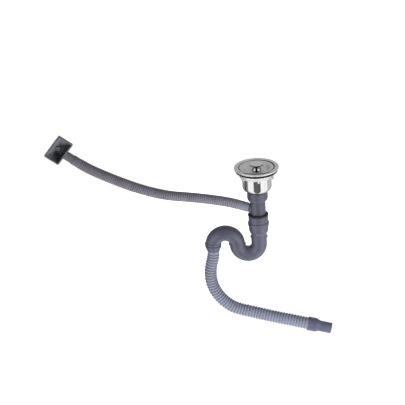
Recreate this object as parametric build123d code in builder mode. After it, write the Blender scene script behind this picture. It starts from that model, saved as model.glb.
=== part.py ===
"""Kitchen sink drain: strainer with lid and basket, tailpiece with overflow, S-trap and waste hose.

Millimetres, +Z up along the drain. The origin is the centre of the sink's hole, on the sink's upper
surface, where the lip of the strainer's flange sits. The trap and both hoses lie in the XZ plane.
"""

from build123d import *
import math
import os

os.makedirs("parts", exist_ok=True)

# Strainer bowl, one steel pressing
flange_diameter = 114.0
flange_height = 4.0
bowl_sheet = 1.0
press_radius = 1.8
crease_radius = 0.8
recess_diameter = 93.0
recess_depth = 3.2
neck_diameter = 82.0
neck_depth = 13.0
shoulder_height = 3.0
cup_diameter = 75.0
cup_depth = 61.5
cup_corner = 12.0
spigot_diameter = 41.9
spigot_length = 18.0

# Basket, hung by its rim in the recess of the bowl
basket_sheet = 0.8
basket_diameter = 69.0
basket_depth = 50.0
basket_corner = 9.0
basket_flare = 9.0
basket_edge_clearance = 3.0
basket_throat_clearance = 1.6
basket_hole = 4.0
basket_columns = 14
basket_rows = 5
basket_row_pitch = 6.6
basket_first_row = 12.5
basket_floor_rings = 2
basket_floor_pitch = 10.5
basket_floor_holes = 6

# Lid, laid on the rim of the basket
lid_sheet = 0.8
lid_edge_clearance = 2.4
dish_diameter = 70.0
dish_floor_diameter = 55.0
dish_depth = 6.0

# Knob of the lid and its screw
knob_top_diameter = 35.0
knob_waist_diameter = 20.0
knob_base_diameter = 24.0
knob_height = 16.0
knob_edge = 2.6
knob_rounding = 1.0
knob_screw_diameter = 5.0
knob_screw_reach = 9.0
knob_screw_head_diameter = 9.5
knob_screw_head_height = 2.8
knob_screw_slot = 1.2
knob_screw_slot_depth = 1.3
screw_clearance = 0.1

# Clamping rings and nut under the flange
ring_clearance = 0.2
gasket_diameter = 109.0
gasket_thickness = 6.8
gasket_rounding = 1.5
friction_ring_diameter = 97.0
friction_ring_thickness = 1.2
lock_nut_diameter = 94.0
lock_nut_sleeve_diameter = 88.5
lock_nut_flange = 3.5
lock_nut_height = 11.5
lock_nut_lugs = 6
lock_nut_lug_width = 4.5
lock_nut_lug_drop = 4.5
lock_nut_lug_angle = -85.0
lock_nut_rounding = 0.8
thread_clearance = 0.25

# Union nut, its washer and the tailpiece
union_nut_diameter = 53.4
union_nut_gap = 2.8
union_nut_waist = 42.8
union_nut_straight = 15.0
union_nut_shoulder = 5.0
union_seal_thickness = 2.5
pipe_diameter = 40.0
pipe_wall = 2.2
pipe_clearance = 0.3
collar_thickness = 3.0
collar_clearance = 0.3
tailpiece_length = 68.5

# Side inlet of the tailpiece for the overflow hose
branch_height = -117.4
branch_angle = 21.0
branch_diameter = 22.0
branch_reach = 27.0
branch_bore = 13.0
barb_diameter = 16.6
barb_length = 14.0
barb_lead = 1.0

# Slip joint at the mouth of the trap
slip_seal_top = -125.7
slip_seal_diameter = 53.0
slip_seal_height = 5.4
slip_seal_lip_length = 10.0
slip_seal_lip_wall = 1.8
slip_seal_clearance = 0.1
slip_nut_diameter = 50.5
slip_nut_height = 17.8
slip_nut_spigot_diameter = 48.2
slip_nut_spigot_length = 14.0

# Trap, one moulding
trap_pipe_diameter = 40.0
socket_wall = 1.8
socket_rim_stand = 0.9
socket_rim_height = 8.0
socket_rim_rounding = 0.8
socket_draft = 1.8
socket_length = 24.0
socket_taper = 9.0
socket_step_gap = 1.5
u_bend_height = -208.0
u_bend_radius = 28.0
arch_radius = 30.8
lug_diameter = 7.0
lug_length = 5.0
lug_stand = 2.2
lug_drop = 7.5
outlet_collar_diameter = 42.4
outlet_collar_height = 7.0
outlet_collar_rounding = 1.8
outlet_thread_diameter = 33.2
outlet_thread_length = 8.0
outlet_wall = 2.2

# Nut and washer at the outlet of the trap
outlet_nut_gap = 0.8
outlet_nut_diameter = 41.6
outlet_nut_straight = 3.5
outlet_nut_length = 15.9
outlet_seal_thickness = 2.0

# Waste hose with a flanged cuff, and the adaptor at its end
waste_hose_diameter = 31.5
waste_hose_bore = 25.4
waste_cuff_diameter = 27.8
waste_cuff_flange = 1.5
hose_clearance = 0.2
adaptor_collar_diameter = 35.0
adaptor_collar_length = 20.0
adaptor_socket_depth = 12.0
adaptor_taper = 11.0
adaptor_spigot_diameter = 27.0
adaptor_spigot_length = 30.0
adaptor_bore = 22.0
adaptor_rounding = 1.5
adaptor_place = (117.0, -438.4)
adaptor_fall = 15.5

# Overflow hose
overflow_hose_diameter = 25.8
overflow_hose_bore = 17.0

# Overflow head: a rectangular hopper that faces -Y, turned in the XZ plane
head_centre = (-501.5, 76.2)
head_fall = 36.5
head_width = 44.0
head_length = 68.0
head_corner = 3.0
head_front = 12.0
head_depth = 28.0
head_rim_thickness = 3.0
head_rim_stand = 1.5
head_wall = 2.2
head_sump_width = 13.0
head_sump_length = 22.0
head_sump_shift = 10.5
head_outlet_diameter = 22.5
head_outlet_length = 26.0
head_outlet_bore = 13.5
head_outlet_shift = 5.0
head_pillar_diameter = 9.0
head_pillar_recess = 5.5
head_pillar_shift = -2.0
head_rib_thickness = 2.4
head_rib_recess = 8.0
head_gasket_thickness = 2.0
insert_diameter = 6.4
insert_length = 12.0
insert_stand = 1.0
insert_thread_bore = 4.2

# Routes of the hoses between their fittings, as X and Z, and their straight runs at the fittings
overflow_lead = 36.0
overflow_route = (
    (-108.0, -84.0),
    (-168.0, -74.0),
    (-230.0, -66.8),
    (-290.0, -49.0),
    (-348.0, -24.0),
    (-398.0, 0.5),
)
waste_lead = 15.0
waste_tail = 46.0
waste_route = (
    (-125.6, -267.0),
    (-127.8, -295.0),
    (-122.8, -322.0),
    (-110.3, -347.8),
    (-90.5, -370.8),
    (-64.5, -388.2),
    (-22.0, -400.0),
    (32.0, -416.0),
)


def finish(piece, name):
    """Labels a piece and writes it to its own file."""
    piece.part.label = name
    export_step(piece.part, f"parts/{name}.step")


def flat_ring(outer_diameter, inner_diameter, top, thickness):
    """A plain ring round the drain's axis, hung down from its top face."""
    with BuildPart() as ring:
        with BuildSketch(Plane.XY.offset(top)):
            Circle(outer_diameter / 2)
            Circle(inner_diameter / 2, mode=Mode.SUBTRACT)
        extrude(amount=-thickness)
    return ring


def pressing(points, radii, sheet):
    """A round sheet pressing: its upper face's section, thickened to the left and revolved."""
    with BuildPart() as pressed:
        with BuildSketch(Plane.XZ):
            with BuildLine():
                FilletPolyline(*points, radius=radii)
                offset(amount=sheet, side=Side.LEFT)
            make_face()
        revolve(axis=Axis.Z)
    return pressed


def hose_radii(points):
    """The largest tangent arcs that the route's runs leave room for."""
    corners = [Vector(x, 0, z) for x, z in points]
    radii = []
    for before, corner, after in zip(corners, corners[1:], corners[2:]):
        run_in = corner - before
        run_out = after - corner
        half_turn = math.radians(run_in.get_angle(run_out)) / 2
        radii.append(0.45 * min(run_in.length, run_out.length) / math.tan(half_turn))
    return radii


def tell_hose(name, hose, route, outer_diameter, bore):
    """Prints a hose's length, and its volume as a share of its section times that length."""
    length = sum(edge.length for edge in route.edges())
    section = math.pi * (outer_diameter**2 - bore**2) / 4
    print(name, "length", round(length, 1), "volume share", round(hose.part.volume / (section * length), 4))


# Levels of the strainer, from the sink's surface
ledge = flange_height - recess_depth
neck_inner = neck_diameter / 2 - bowl_sheet
cup_inner = cup_diameter / 2 - bowl_sheet
cup_floor = bowl_sheet - cup_depth
spigot_inner = spigot_diameter / 2 - bowl_sheet
spigot_end = -cup_depth - spigot_length
basket_top = ledge + basket_sheet
lid_top = basket_top + lid_sheet
dish_floor = lid_top - dish_depth

# Strainer bowl
strainer_bowl = pressing(
    [
        (flange_diameter / 2, 0),
        (flange_diameter / 2, flange_height),
        (recess_diameter / 2, flange_height),
        (recess_diameter / 2, ledge),
        (neck_inner, ledge),
        (neck_inner, -neck_depth),
        (cup_inner, -neck_depth - shoulder_height),
        (cup_inner, cup_floor),
        (spigot_inner, cup_floor),
        (spigot_inner, spigot_end),
    ],
    [
        press_radius,
        press_radius,
        crease_radius,
        press_radius,
        crease_radius,
        press_radius,
        cup_corner - bowl_sheet,
        press_radius,
    ],
    bowl_sheet,
)
finish(strainer_bowl, "strainer_bowl")

# Basket, with holes punched through its wall and floor
basket_edge = recess_diameter / 2 - basket_edge_clearance
basket_inner = basket_diameter / 2 - basket_sheet
basket_floor = basket_sheet - basket_depth
punch_planes = [
    Plane(
        origin=(0, 0, -basket_first_row - row * basket_row_pitch),
        x_dir=(0, 0, 1),
        z_dir=(math.cos(column * math.tau / basket_columns), math.sin(column * math.tau / basket_columns), 0),
    )
    for row in range(basket_rows)
    for column in range(basket_columns)
]
basket_cup = pressing(
    [
        (basket_edge, basket_top),
        (neck_inner - basket_throat_clearance, basket_top),
        (basket_inner, basket_top - basket_flare),
        (basket_inner, basket_floor),
        (0, basket_floor),
    ],
    [press_radius, crease_radius, basket_corner - basket_sheet],
    basket_sheet,
)
with BuildPart() as strainer_basket:
    add(basket_cup.part)
    with Locations(*punch_planes):
        Cylinder(
            basket_hole / 2,
            basket_diameter,
            align=(Align.CENTER, Align.CENTER, Align.MIN),
            mode=Mode.SUBTRACT,
        )
    with Locations((0, 0, basket_floor)):
        Cylinder(basket_hole / 2, 4 * basket_sheet, mode=Mode.SUBTRACT)
        for ring in range(1, basket_floor_rings + 1):
            with PolarLocations(ring * basket_floor_pitch, ring * basket_floor_holes):
                Cylinder(basket_hole / 2, 4 * basket_sheet, mode=Mode.SUBTRACT)
finish(strainer_basket, "strainer_basket")

# Lid
lid = pressing(
    [
        (recess_diameter / 2 - lid_edge_clearance, lid_top),
        (dish_diameter / 2, lid_top),
        (dish_floor_diameter / 2, dish_floor),
        (knob_screw_diameter / 2 + screw_clearance, dish_floor),
    ],
    [press_radius, press_radius],
    lid_sheet,
)
finish(lid, "lid")

# Knob, turned like a spool, with a blind hole for its screw
knob_top = dish_floor + knob_height
with BuildPart() as lid_knob:
    with BuildSketch(Plane.XZ):
        with BuildLine():
            Line((0, dish_floor), (knob_base_diameter / 2, dish_floor))
            ThreePointArc(
                (knob_base_diameter / 2, dish_floor),
                (knob_waist_diameter / 2, dish_floor + knob_height / 2),
                (knob_top_diameter / 2, knob_top - knob_edge),
            )
            Polyline(
                (knob_top_diameter / 2, knob_top - knob_edge),
                (knob_top_diameter / 2, knob_top),
                (0, knob_top),
                (0, dish_floor),
            )
        make_face()
    revolve(axis=Axis.Z)
    fillet(lid_knob.edges().group_by(Axis.Z)[-1], knob_rounding)
    with BuildSketch(Plane.XY.offset(dish_floor)):
        Circle(knob_screw_diameter / 2 + screw_clearance)
    extrude(amount=knob_screw_reach + screw_clearance, mode=Mode.SUBTRACT)
finish(lid_knob, "lid_knob")

# Screw of the knob, with a slotted head under the lid
with BuildPart() as knob_screw:
    with BuildSketch(Plane.XY.offset(dish_floor + knob_screw_reach)):
        Circle(knob_screw_diameter / 2)
    extrude(amount=-knob_screw_reach - lid_sheet)
    with BuildSketch(Plane.XY.offset(dish_floor - lid_sheet)):
        Circle(knob_screw_head_diameter / 2)
    extrude(amount=-knob_screw_head_height)
    with BuildSketch(Plane.XY.offset(dish_floor - lid_sheet - knob_screw_head_height)):
        Rectangle(knob_screw_head_diameter, knob_screw_slot)
    extrude(amount=knob_screw_slot_depth, mode=Mode.SUBTRACT)
finish(knob_screw, "knob_screw")

# Gasket and friction ring under the flange
ring_bore = neck_diameter + 2 * (press_radius - bowl_sheet + ring_clearance)
gasket_top = ledge - bowl_sheet
with BuildPart() as flange_gasket:
    add(flat_ring(gasket_diameter, ring_bore, gasket_top, gasket_thickness).part)
    fillet(flange_gasket.edges().filter_by(GeomType.CIRCLE).group_by(SortBy.RADIUS)[-1], gasket_rounding)
finish(flange_gasket, "flange_gasket")

friction_ring_top = gasket_top - gasket_thickness
friction_ring = flat_ring(friction_ring_diameter, ring_bore, friction_ring_top, friction_ring_thickness)
finish(friction_ring, "friction_ring")

# Lock nut: a flanged sleeve with lugs that hang below it
lock_nut_top = friction_ring_top - friction_ring_thickness
lock_nut_bore = neck_diameter + 2 * thread_clearance
lug_depth = lock_nut_height + lock_nut_lug_drop
with BuildPart() as lock_nut:
    with BuildSketch(Plane.XY.offset(lock_nut_top)):
        Circle(lock_nut_diameter / 2)
    extrude(amount=-lock_nut_flange)
    fillet(lock_nut.edges().filter_by(GeomType.CIRCLE), lock_nut_rounding)
    with BuildSketch(Plane.XY.offset(lock_nut_top)):
        Circle(lock_nut_sleeve_diameter / 2)
    extrude(amount=-lock_nut_height)
    with BuildSketch(Plane.XY.offset(lock_nut_top - lock_nut_flange / 2)):
        with PolarLocations(0, lock_nut_lugs, start_angle=lock_nut_lug_angle):
            Rectangle(
                lock_nut_diameter / 2 - lock_nut_rounding,
                lock_nut_lug_width,
                align=(Align.MIN, Align.CENTER),
            )
    extrude(amount=lock_nut_flange / 2 - lug_depth)
    with BuildSketch(Plane.XY.offset(lock_nut_top)):
        Circle(lock_nut_bore / 2)
    extrude(amount=-lug_depth, mode=Mode.SUBTRACT)
finish(lock_nut, "lock_nut")

# Levels of the union, from the end of the bowl's spigot
collar_top = spigot_end - union_seal_thickness
collar_bottom = collar_top - collar_thickness
union_nut_top = -cup_depth - union_nut_gap
union_nut_bottom = collar_bottom - union_nut_shoulder
union_bore = spigot_diameter + 2 * thread_clearance
pipe_bore = pipe_diameter - 2 * pipe_wall
collar_diameter = union_bore - 2 * collar_clearance

# Union nut: a bell with a rounded shoulder, hollow down to the collar that it carries
with BuildPart() as union_nut:
    with BuildSketch(Plane.XZ):
        with BuildLine():
            Polyline(
                (pipe_diameter / 2 + pipe_clearance, union_nut_bottom),
                (pipe_diameter / 2 + pipe_clearance, collar_bottom),
                (union_bore / 2, collar_bottom),
                (union_bore / 2, union_nut_top),
                (union_nut_diameter / 2, union_nut_top),
                (union_nut_diameter / 2, union_nut_top - union_nut_straight),
            )
            TangentArc(
                (union_nut_diameter / 2, union_nut_top - union_nut_straight),
                (union_nut_waist / 2, union_nut_bottom),
                tangent=(0, -1),
            )
            Line(
                (union_nut_waist / 2, union_nut_bottom),
                (pipe_diameter / 2 + pipe_clearance, union_nut_bottom),
            )
        make_face()
    revolve(axis=Axis.Z)
finish(union_nut, "union_nut")

union_seal = flat_ring(collar_diameter, pipe_bore, spigot_end, union_seal_thickness)
finish(union_seal, "union_seal")

# Tailpiece: tube with a collar, and a branch that rises towards the overflow
branch_rise = math.radians(branch_angle)
branch_way = Vector(-math.cos(branch_rise), 0, math.sin(branch_rise))
branch_root = Vector(0, 0, branch_height)
branch_face = branch_root + branch_way * branch_reach
branch_plane = Plane(origin=tuple(branch_root), x_dir=(0, 1, 0), z_dir=tuple(branch_way))
with BuildPart() as tailpiece:
    with BuildSketch(Plane.XY.offset(collar_top)):
        Circle(collar_diameter / 2)
    extrude(amount=-collar_thickness)
    with BuildSketch(Plane.XY.offset(collar_top)):
        Circle(pipe_diameter / 2)
    extrude(amount=-tailpiece_length)
    with BuildSketch(branch_plane):
        Circle(branch_diameter / 2)
    extrude(amount=branch_reach)
    with BuildSketch(branch_plane):
        Circle(barb_diameter / 2)
    extrude(amount=branch_reach + barb_length)
    chamfer(tailpiece.faces().sort_by(Axis(tuple(branch_root), tuple(branch_way)))[-1].edges(), barb_lead)
    with BuildSketch(branch_plane):
        Circle(branch_bore / 2)
    extrude(amount=branch_reach + barb_length, mode=Mode.SUBTRACT)
    with BuildSketch(Plane.XY.offset(collar_top)):
        Circle(pipe_bore / 2)
    extrude(amount=-tailpiece_length, mode=Mode.SUBTRACT)
finish(tailpiece, "tailpiece")

# Levels of the slip joint
slip_seal_bottom = slip_seal_top - slip_seal_height
slip_lip_end = slip_seal_bottom - slip_seal_lip_length
slip_bore = pipe_diameter / 2 + slip_seal_clearance
slip_lip = slip_bore + slip_seal_lip_wall
slip_nut_bottom = slip_seal_bottom - slip_nut_height
slip_spigot_end = slip_nut_bottom - slip_nut_spigot_length

# Slip seal: a round rubber bead with a lip that goes down into the nut
with BuildPart() as slip_seal:
    with BuildSketch(Plane.XZ):
        with BuildLine():
            Polyline(
                (slip_bore, slip_lip_end),
                (slip_bore, slip_seal_top),
                (slip_seal_diameter / 2 - slip_seal_height / 2, slip_seal_top),
            )
            ThreePointArc(
                (slip_seal_diameter / 2 - slip_seal_height / 2, slip_seal_top),
                (slip_seal_diameter / 2, slip_seal_top - slip_seal_height / 2),
                (slip_seal_diameter / 2 - slip_seal_height / 2, slip_seal_bottom),
            )
            Polyline(
                (slip_seal_diameter / 2 - slip_seal_height / 2, slip_seal_bottom),
                (slip_lip, slip_seal_bottom),
                (slip_lip, slip_lip_end),
                (slip_bore, slip_lip_end),
            )
        make_face()
    revolve(axis=Axis.Z)
finish(slip_seal, "slip_seal")

# Slip nut: a gland whose threaded spigot goes into the trap's socket
with BuildPart() as slip_nut:
    with BuildSketch(Plane.XZ):
        with BuildLine():
            Polyline(
                (slip_lip + pipe_clearance, slip_seal_bottom),
                (slip_nut_diameter / 2, slip_seal_bottom),
                (slip_nut_diameter / 2, slip_nut_bottom),
                (slip_nut_spigot_diameter / 2, slip_nut_bottom),
                (slip_nut_spigot_diameter / 2, slip_spigot_end),
                (pipe_diameter / 2 + pipe_clearance, slip_spigot_end),
                (pipe_diameter / 2 + pipe_clearance, slip_lip_end - pipe_clearance),
                (slip_lip + pipe_clearance, slip_lip_end - pipe_clearance),
                close=True,
            )
        make_face()
    revolve(axis=Axis.Z)
finish(slip_nut, "slip_nut")

# Levels and lines of the trap
socket_bore = slip_nut_spigot_diameter / 2 + thread_clearance
socket_radius = socket_bore + socket_wall
socket_rim_radius = socket_radius + socket_rim_stand
socket_rim_bottom = slip_nut_bottom - socket_rim_height
socket_foot = slip_nut_bottom - socket_length
socket_floor = slip_spigot_end - socket_step_gap
taper_end = socket_foot - socket_taper
trap_bore = trap_pipe_diameter - 2 * pipe_wall
middle_x = -2 * u_bend_radius
outlet_x = middle_x - 2 * arch_radius
outlet_collar_bottom = u_bend_height
outlet_collar_top = outlet_collar_bottom + outlet_collar_height
outlet_end = outlet_collar_bottom - outlet_thread_length
outlet_bore = outlet_thread_diameter / 2 - outlet_wall
outlet_axis = Axis((outlet_x, 0, 0), (0, 0, 1))
outlet_section = Plane(origin=(outlet_x, 0, 0), x_dir=(1, 0, 0), z_dir=(0, -1, 0))
lug_reach = trap_pipe_diameter / 2 + lug_stand - lug_diameter / 2
lug_places = [
    (limb_x + side * lug_reach, 0, level)
    for limb_x, level in ((0, taper_end - lug_drop), (middle_x, u_bend_height))
    for side in (-1, 1)
]

# Trap: socket, U-bend, arch and threaded outlet
with BuildPart() as trap_bend:
    with BuildSketch(Plane.XZ):
        with BuildLine():
            Polyline(
                (0, slip_nut_bottom),
                (socket_rim_radius, slip_nut_bottom),
                (socket_rim_radius, socket_rim_bottom),
                (socket_radius, socket_rim_bottom),
                (socket_radius - socket_draft, socket_foot),
                (trap_pipe_diameter / 2, taper_end),
                (0, taper_end),
                close=True,
            )
        make_face()
    revolve(axis=Axis.Z)
    fillet(trap_bend.edges().filter_by(GeomType.CIRCLE).group_by(SortBy.RADIUS)[-1], socket_rim_rounding)
    with BuildLine(Plane.XZ) as trap_line:
        Line((0, taper_end), (0, u_bend_height))
        RadiusArc((0, u_bend_height), (middle_x, u_bend_height), u_bend_radius)
        RadiusArc((middle_x, u_bend_height), (outlet_x, u_bend_height), -arch_radius)
    with BuildSketch(Plane.XY.offset(taper_end)):
        Circle(trap_pipe_diameter / 2)
    sweep(path=trap_line.line)
    with Locations(*[Plane(origin=place, z_dir=(0, 1, 0)) for place in lug_places]):
        Cylinder(lug_diameter / 2, lug_length)
    with BuildSketch(Plane.XZ):
        with BuildLine():
            Polyline(
                (0, slip_nut_bottom),
                (socket_bore, slip_nut_bottom),
                (socket_bore, socket_floor),
                (trap_bore / 2, taper_end),
                (0, taper_end),
                close=True,
            )
        make_face()
    revolve(axis=Axis.Z, mode=Mode.SUBTRACT)
    with BuildSketch(Plane.XY.offset(taper_end)):
        Circle(trap_bore / 2)
    sweep(path=trap_line.line, mode=Mode.SUBTRACT)
    with BuildSketch(outlet_section):
        with BuildLine():
            Polyline(
                (outlet_bore, outlet_end),
                (outlet_thread_diameter / 2, outlet_end),
                (outlet_thread_diameter / 2, outlet_collar_bottom),
                (outlet_collar_diameter / 2 - outlet_collar_rounding, outlet_collar_bottom),
            )
            RadiusArc(
                (outlet_collar_diameter / 2 - outlet_collar_rounding, outlet_collar_bottom),
                (outlet_collar_diameter / 2, outlet_collar_bottom + outlet_collar_rounding),
                -outlet_collar_rounding,
            )
            Line(
                (outlet_collar_diameter / 2, outlet_collar_bottom + outlet_collar_rounding),
                (outlet_collar_diameter / 2, outlet_collar_top - outlet_collar_rounding),
            )
            RadiusArc(
                (outlet_collar_diameter / 2, outlet_collar_top - outlet_collar_rounding),
                (outlet_collar_diameter / 2 - outlet_collar_rounding, outlet_collar_top),
                -outlet_collar_rounding,
            )
            Polyline(
                (outlet_collar_diameter / 2 - outlet_collar_rounding, outlet_collar_top),
                (outlet_bore, outlet_collar_top),
                (outlet_bore, outlet_end),
            )
        make_face()
    revolve(axis=outlet_axis)
finish(trap_bend, "trap_bend")

# Washer and nut at the outlet of the trap
outlet_nut_top = outlet_collar_bottom - outlet_nut_gap
outlet_nut_bottom = outlet_nut_top - outlet_nut_length
outlet_nut_bore = outlet_thread_diameter / 2 + thread_clearance
cuff_flange_top = outlet_end - outlet_seal_thickness
cuff_flange_bottom = cuff_flange_top - waste_cuff_flange
cuff_flange_radius = outlet_nut_bore - hose_clearance
with BuildPart() as outlet_seal:
    with BuildSketch(Plane.XY.offset(outlet_end)):
        with Locations((outlet_x, 0)):
            Circle(cuff_flange_radius)
            Circle(waste_hose_bore / 2, mode=Mode.SUBTRACT)
    extrude(amount=-outlet_seal_thickness)
finish(outlet_seal, "outlet_seal")

with BuildPart() as outlet_nut:
    with BuildSketch(outlet_section):
        with BuildLine():
            Polyline(
                (outlet_nut_bore, outlet_nut_top),
                (outlet_nut_diameter / 2, outlet_nut_top),
                (outlet_nut_diameter / 2, outlet_nut_top - outlet_nut_straight),
                (waste_hose_diameter / 2, outlet_nut_bottom),
                (waste_cuff_diameter / 2 + hose_clearance, outlet_nut_bottom),
                (waste_cuff_diameter / 2 + hose_clearance, cuff_flange_bottom),
                (outlet_nut_bore, cuff_flange_bottom),
                close=True,
            )
        make_face()
    revolve(axis=outlet_axis)
finish(outlet_nut, "outlet_nut")

# Waste hose: cuff in the nut, then a tube that ends on the step of the adaptor's socket
adaptor_slope = math.radians(adaptor_fall)
adaptor_way = Vector(math.cos(adaptor_slope), 0, -math.sin(adaptor_slope))
adaptor_mouth = Vector(adaptor_place[0], 0, adaptor_place[1])
adaptor_step = adaptor_mouth + adaptor_way * adaptor_socket_depth
adaptor_bend = adaptor_step - adaptor_way * waste_tail
waste_points = [
    (outlet_x, outlet_nut_bottom),
    (outlet_x, outlet_nut_bottom - waste_lead),
    *waste_route,
    (adaptor_bend.X, adaptor_bend.Z),
    (adaptor_step.X, adaptor_step.Z),
]
waste_radii = hose_radii(waste_points)
print("waste hose radii", [round(radius) for radius in waste_radii])
with BuildPart() as waste_hose:
    with BuildLine(Plane.XZ) as waste_line:
        FilletPolyline(*waste_points, radius=waste_radii)
    with BuildSketch(Plane.XY.offset(outlet_nut_bottom)):
        with Locations((outlet_x, 0)):
            Circle(waste_hose_diameter / 2)
            Circle(waste_hose_bore / 2, mode=Mode.SUBTRACT)
    sweep(path=waste_line.line)
    tell_hose("waste hose", waste_hose, waste_line, waste_hose_diameter, waste_hose_bore)
    with BuildSketch(Plane.XY.offset(outlet_nut_bottom)):
        with Locations((outlet_x, 0)):
            Circle(waste_cuff_diameter / 2)
            Circle(waste_hose_bore / 2, mode=Mode.SUBTRACT)
    extrude(amount=cuff_flange_top - outlet_nut_bottom)
    with BuildSketch(Plane.XY.offset(cuff_flange_bottom)):
        with Locations((outlet_x, 0)):
            Circle(cuff_flange_radius)
            Circle(waste_hose_bore / 2, mode=Mode.SUBTRACT)
    extrude(amount=waste_cuff_flange)
finish(waste_hose, "waste_hose")

# Adaptor: socket for the hose, taper, and a spigot for the house's waste pipe
adaptor_length = adaptor_collar_length + adaptor_taper + adaptor_spigot_length
adaptor_up = Vector(math.sin(adaptor_slope), 0, math.cos(adaptor_slope))
adaptor_section = Plane(origin=tuple(adaptor_mouth), x_dir=tuple(adaptor_up), z_dir=(0, 1, 0))
with BuildPart() as end_adaptor:
    with BuildSketch(adaptor_section):
        with BuildLine():
            Polyline(
                (waste_hose_diameter / 2 + hose_clearance, 0),
                (adaptor_collar_diameter / 2, 0),
                (adaptor_collar_diameter / 2, adaptor_collar_length),
                (adaptor_spigot_diameter / 2, adaptor_collar_length + adaptor_taper),
                (adaptor_spigot_diameter / 2, adaptor_length),
                (adaptor_bore / 2, adaptor_length),
                (adaptor_bore / 2, adaptor_socket_depth),
                (waste_hose_diameter / 2 + hose_clearance, adaptor_socket_depth),
                close=True,
            )
        make_face()
    revolve(axis=Axis(tuple(adaptor_mouth), tuple(adaptor_way)))
    fillet(end_adaptor.edges().filter_by(GeomType.CIRCLE).group_by(SortBy.RADIUS)[-1], adaptor_rounding)
finish(end_adaptor, "end_adaptor")

# Overflow head: rim, hopper that falls to a sump, outlet, and a pillar for the cover's screw
head_slope = math.radians(head_fall)
head_way = Vector(math.cos(head_slope), 0, -math.sin(head_slope))
head_origin = Vector(head_centre[0], 0, head_centre[1])
head_long = Vector(-math.sin(head_slope), 0, -math.cos(head_slope))
head_plane = Plane(origin=tuple(head_origin), x_dir=tuple(head_way), z_dir=(0, -1, 0))
head_back = head_front - head_depth
head_outlet_end = head_width / 2 + head_outlet_length
head_outlet_root = head_origin + head_long * head_outlet_shift
head_outlet_plane = Plane(origin=tuple(head_outlet_root), x_dir=(0, -1, 0), z_dir=tuple(head_way))
mouth_width = head_width - 2 * head_rim_stand - 2 * head_wall
mouth_length = head_length - 2 * head_rim_stand - 2 * head_wall
pillar_top = head_front - head_pillar_recess
with BuildPart() as hopper:
    with BuildSketch(head_plane.offset(head_front - head_rim_thickness)):
        Rectangle(mouth_width + 2 * head_wall, mouth_length + 2 * head_wall)
    with BuildSketch(head_plane.offset(head_back)):
        with Locations((head_sump_shift, -head_outlet_shift)):
            Rectangle(head_sump_width + 2 * head_wall, head_sump_length + 2 * head_wall)
    loft()

# Pillar and its rib, which stand on the wall of the hopper
with BuildPart() as pillar:
    with BuildSketch(head_plane.offset(head_back)):
        with Locations((head_pillar_shift, 0)):
            Circle(head_pillar_diameter / 2)
    extrude(amount=pillar_top - head_back)
    with BuildSketch(head_plane.offset(head_back)):
        with Locations((head_pillar_shift, 0)):
            Rectangle(mouth_width, head_rib_thickness, align=(Align.MAX, Align.CENTER))
    extrude(amount=head_depth - head_rib_recess)
    add(hopper.part, mode=Mode.INTERSECT)

with BuildPart() as overflow_head:
    add(hopper.part)
    with BuildSketch(head_plane.offset(head_front)):
        RectangleRounded(head_width, head_length, head_corner)
    extrude(amount=-head_rim_thickness)
    with BuildSketch(head_outlet_plane):
        Circle(head_outlet_diameter / 2)
    extrude(amount=head_outlet_end)
    with BuildSketch(head_outlet_plane):
        Circle(barb_diameter / 2)
    extrude(amount=head_outlet_end + barb_length)
    outlet_tip = overflow_head.faces().sort_by(Axis(tuple(head_outlet_root), tuple(head_way)))[-1]
    chamfer(outlet_tip.edges(), barb_lead)
    with BuildSketch(head_plane.offset(head_front)):
        Rectangle(mouth_width, mouth_length)
    with BuildSketch(head_plane.offset(head_back + head_wall)):
        with Locations((head_sump_shift, -head_outlet_shift)):
            Rectangle(head_sump_width, head_sump_length)
    loft(mode=Mode.SUBTRACT)
    add(pillar.part)
    with BuildSketch(head_plane.offset(pillar_top)):
        with Locations((head_pillar_shift, 0)):
            Circle(insert_diameter / 2)
    extrude(amount=insert_stand - insert_length, mode=Mode.SUBTRACT)
    with BuildSketch(head_outlet_plane.offset(head_sump_shift)):
        Circle(head_outlet_bore / 2)
    extrude(amount=head_outlet_end + barb_length - head_sump_shift, mode=Mode.SUBTRACT)
finish(overflow_head, "overflow_head")

with BuildPart() as overflow_gasket:
    with BuildSketch(head_plane.offset(head_front)):
        RectangleRounded(head_width, head_length, head_corner)
        Rectangle(mouth_width, mouth_length, mode=Mode.SUBTRACT)
    extrude(amount=head_gasket_thickness)
finish(overflow_gasket, "overflow_gasket")

# Threaded insert for the cover's screw, set in the pillar
with BuildPart() as cover_screw_insert:
    with BuildSketch(head_plane.offset(pillar_top + insert_stand)):
        with Locations((head_pillar_shift, 0)):
            Circle(insert_diameter / 2)
            Circle(insert_thread_bore / 2, mode=Mode.SUBTRACT)
    extrude(amount=-insert_length)
finish(cover_screw_insert, "cover_screw_insert")

# Overflow hose: a tube from the tailpiece's branch to the head's outlet, over the barbs of both
branch_bend = branch_face + branch_way * overflow_lead
head_end = head_outlet_root + head_way * head_outlet_end
head_bend = head_end + head_way * overflow_lead
overflow_points = [
    (branch_face.X, branch_face.Z),
    (branch_bend.X, branch_bend.Z),
    *overflow_route,
    (head_bend.X, head_bend.Z),
    (head_end.X, head_end.Z),
]
overflow_radii = hose_radii(overflow_points)
print("overflow hose radii", [round(radius) for radius in overflow_radii])
with BuildPart() as overflow_hose:
    with BuildLine(Plane.XZ) as overflow_line:
        FilletPolyline(*overflow_points, radius=overflow_radii)
    with BuildSketch(branch_plane.offset(branch_reach)):
        Circle(overflow_hose_diameter / 2)
        Circle(overflow_hose_bore / 2, mode=Mode.SUBTRACT)
    sweep(path=overflow_line.line)
tell_hose("overflow hose", overflow_hose, overflow_line, overflow_hose_diameter, overflow_hose_bore)
finish(overflow_hose, "overflow_hose")
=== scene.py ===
"""Looks of the kitchen sink drain: finishes, ribbed hoses, camera, light and floor. Sizes are in metres."""
import math

import bpy
from mathutils import Matrix, Vector


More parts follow.
